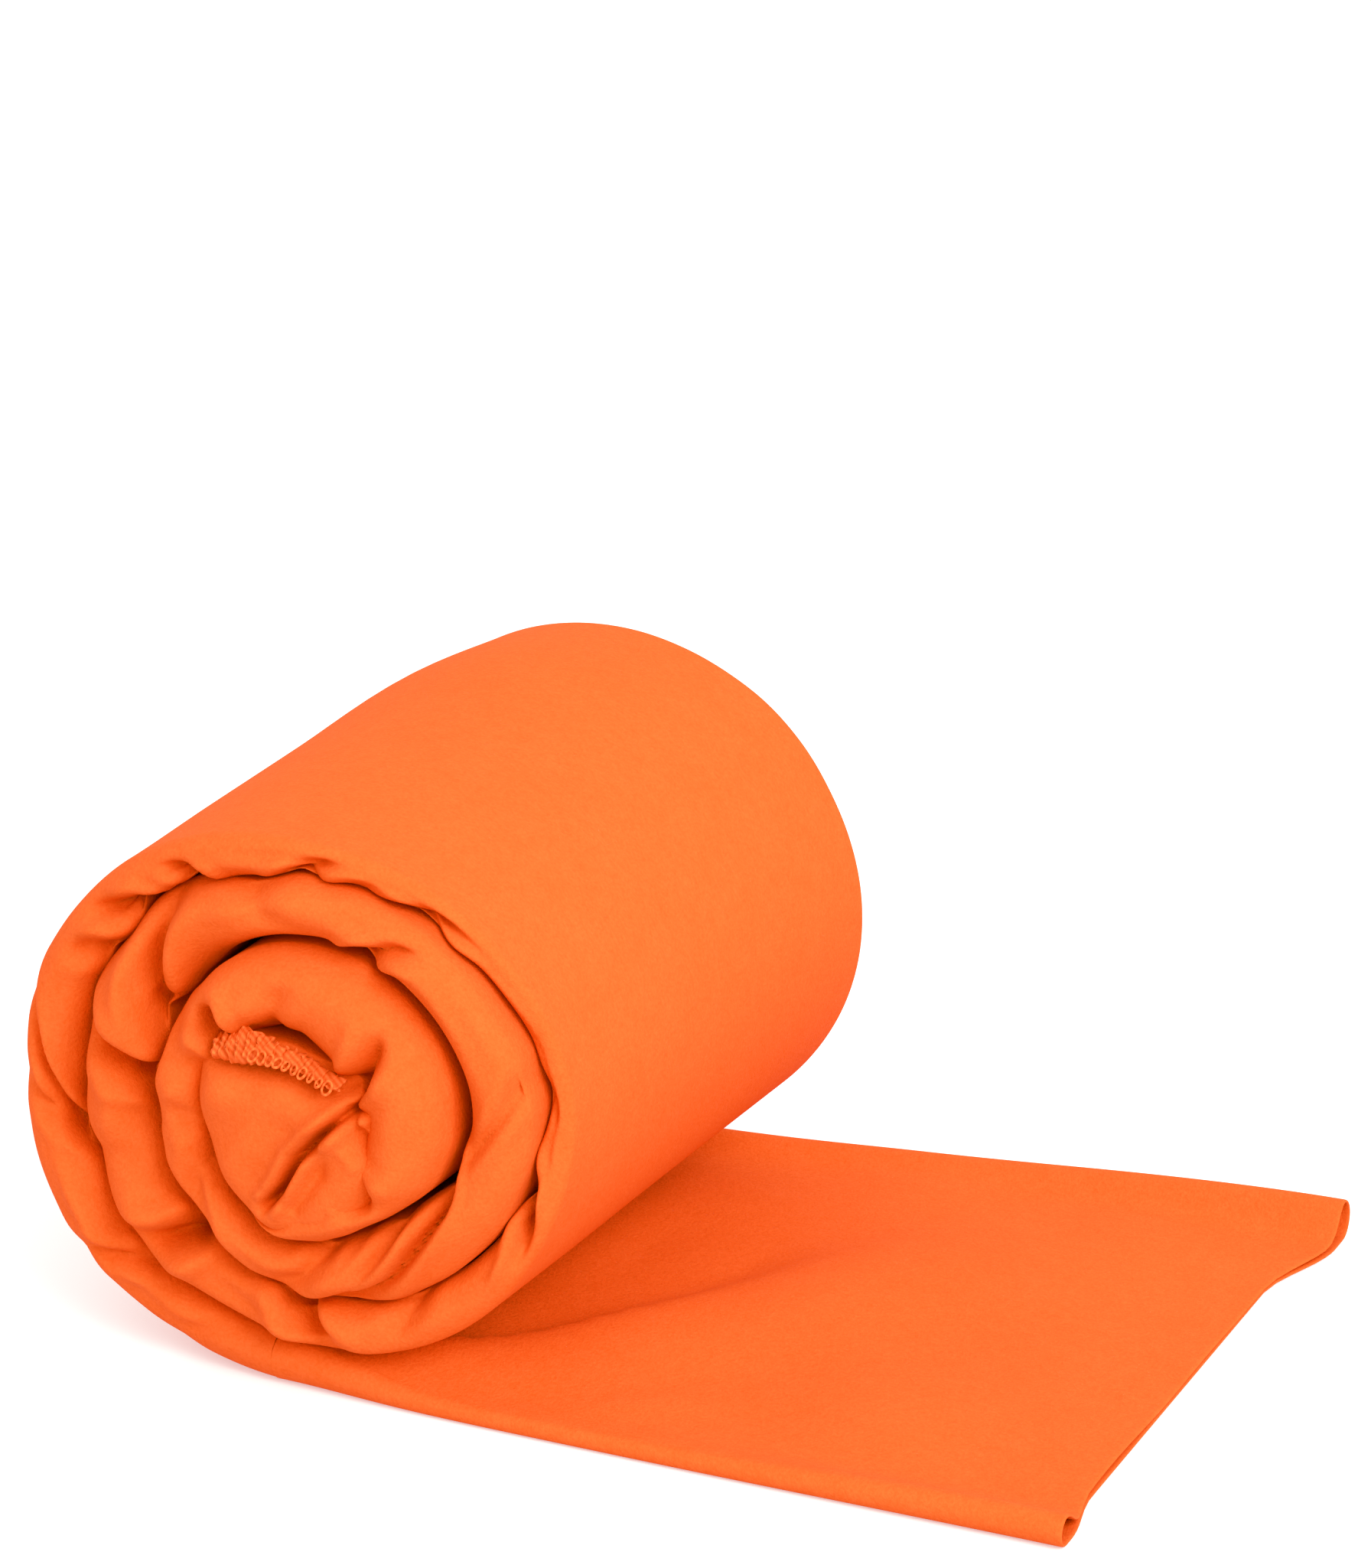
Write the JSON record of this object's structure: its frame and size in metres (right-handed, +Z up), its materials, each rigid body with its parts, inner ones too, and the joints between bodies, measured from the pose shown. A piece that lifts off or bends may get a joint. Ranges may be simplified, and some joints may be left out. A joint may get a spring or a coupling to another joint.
{
  "type": "quick dry towel",
  "caption": "Microfibre travel towel folded lengthwise into a strip and rolled up, with a flat tail running out from under the roll.",
  "frame": {"origin": "middle of the footprint, on the surface that the towel lies on", "axes": "+X along the tail, away from the roll; +Y along the roll's axis, from its front face to its back face; +Z up"},
  "size_m": [0.2327, 0.176, 0.12],
  "materials": {
    "towel_cloth": "soft brushed suede microfibre, orange",
    "hem_thread": "overlocked thread edge, orange"
  },
  "bodies": {
    "roll": {"outer_turn": "towel_cloth", "middle_turn": "towel_cloth", "tail_root_lower_layer": "towel_cloth", "tail_root_upper_layer": "towel_cloth", "tail_root_front_fold": "towel_cloth", "tail_root_back_fold": "towel_cloth"},
    "tail_1": {"tail_1_lower_layer": "towel_cloth", "tail_1_upper_layer": "towel_cloth", "tail_1_front_fold": "towel_cloth", "tail_1_back_fold": "towel_cloth"},
    "tail_2": {"tail_2_lower_layer": "towel_cloth", "tail_2_upper_layer": "towel_cloth", "tail_2_front_fold": "towel_cloth", "tail_2_back_fold": "towel_cloth"},
    "tail_3": {"tail_3_lower_layer": "towel_cloth", "tail_3_upper_layer": "towel_cloth", "tail_3_front_fold": "towel_cloth", "tail_3_back_fold": "towel_cloth"},
    "tail_4": {"tail_4_lower_layer": "towel_cloth", "tail_4_upper_layer": "towel_cloth", "tail_4_front_fold": "towel_cloth", "tail_4_back_fold": "towel_cloth"},
    "tail_5": {"tail_5_lower_layer": "towel_cloth", "tail_5_upper_layer": "towel_cloth", "tail_5_front_fold": "towel_cloth", "tail_5_back_fold": "towel_cloth"},
    "core": {"inner_turn": "towel_cloth", "core_tongue": "towel_cloth", "core_hem": "hem_thread"}
  },
  "joints": [
    {"name": "tail_bend_1", "type": "hinge", "parent": "roll", "child": "tail_1", "pos_m": [-0.0395, 0, 0.005], "axis": [0, -1, 0], "range_deg": [0, 12]},
    {"name": "tail_bend_2", "type": "hinge", "parent": "tail_1", "child": "tail_2", "pos_m": [-0.0083, 0, 0.005], "axis": [0, -1, 0], "range_deg": [0, 20]},
    {"name": "tail_bend_3", "type": "hinge", "parent": "tail_2", "child": "tail_3", "pos_m": [0.0229, 0, 0.005], "axis": [0, -1, 0], "range_deg": [0, 20]},
    {"name": "tail_bend_4", "type": "hinge", "parent": "tail_3", "child": "tail_4", "pos_m": [0.0541, 0, 0.005], "axis": [0, -1, 0], "range_deg": [0, 20]},
    {"name": "tail_bend_5", "type": "hinge", "parent": "tail_4", "child": "tail_5", "pos_m": [0.0853, 0, 0.005], "axis": [0, -1, 0], "range_deg": [0, 20]},
    {"name": "core_push", "type": "slide", "parent": "roll", "child": "core", "axis": [0, 1, 0], "range_m": [-0.015, 0.015]}
  ]
}
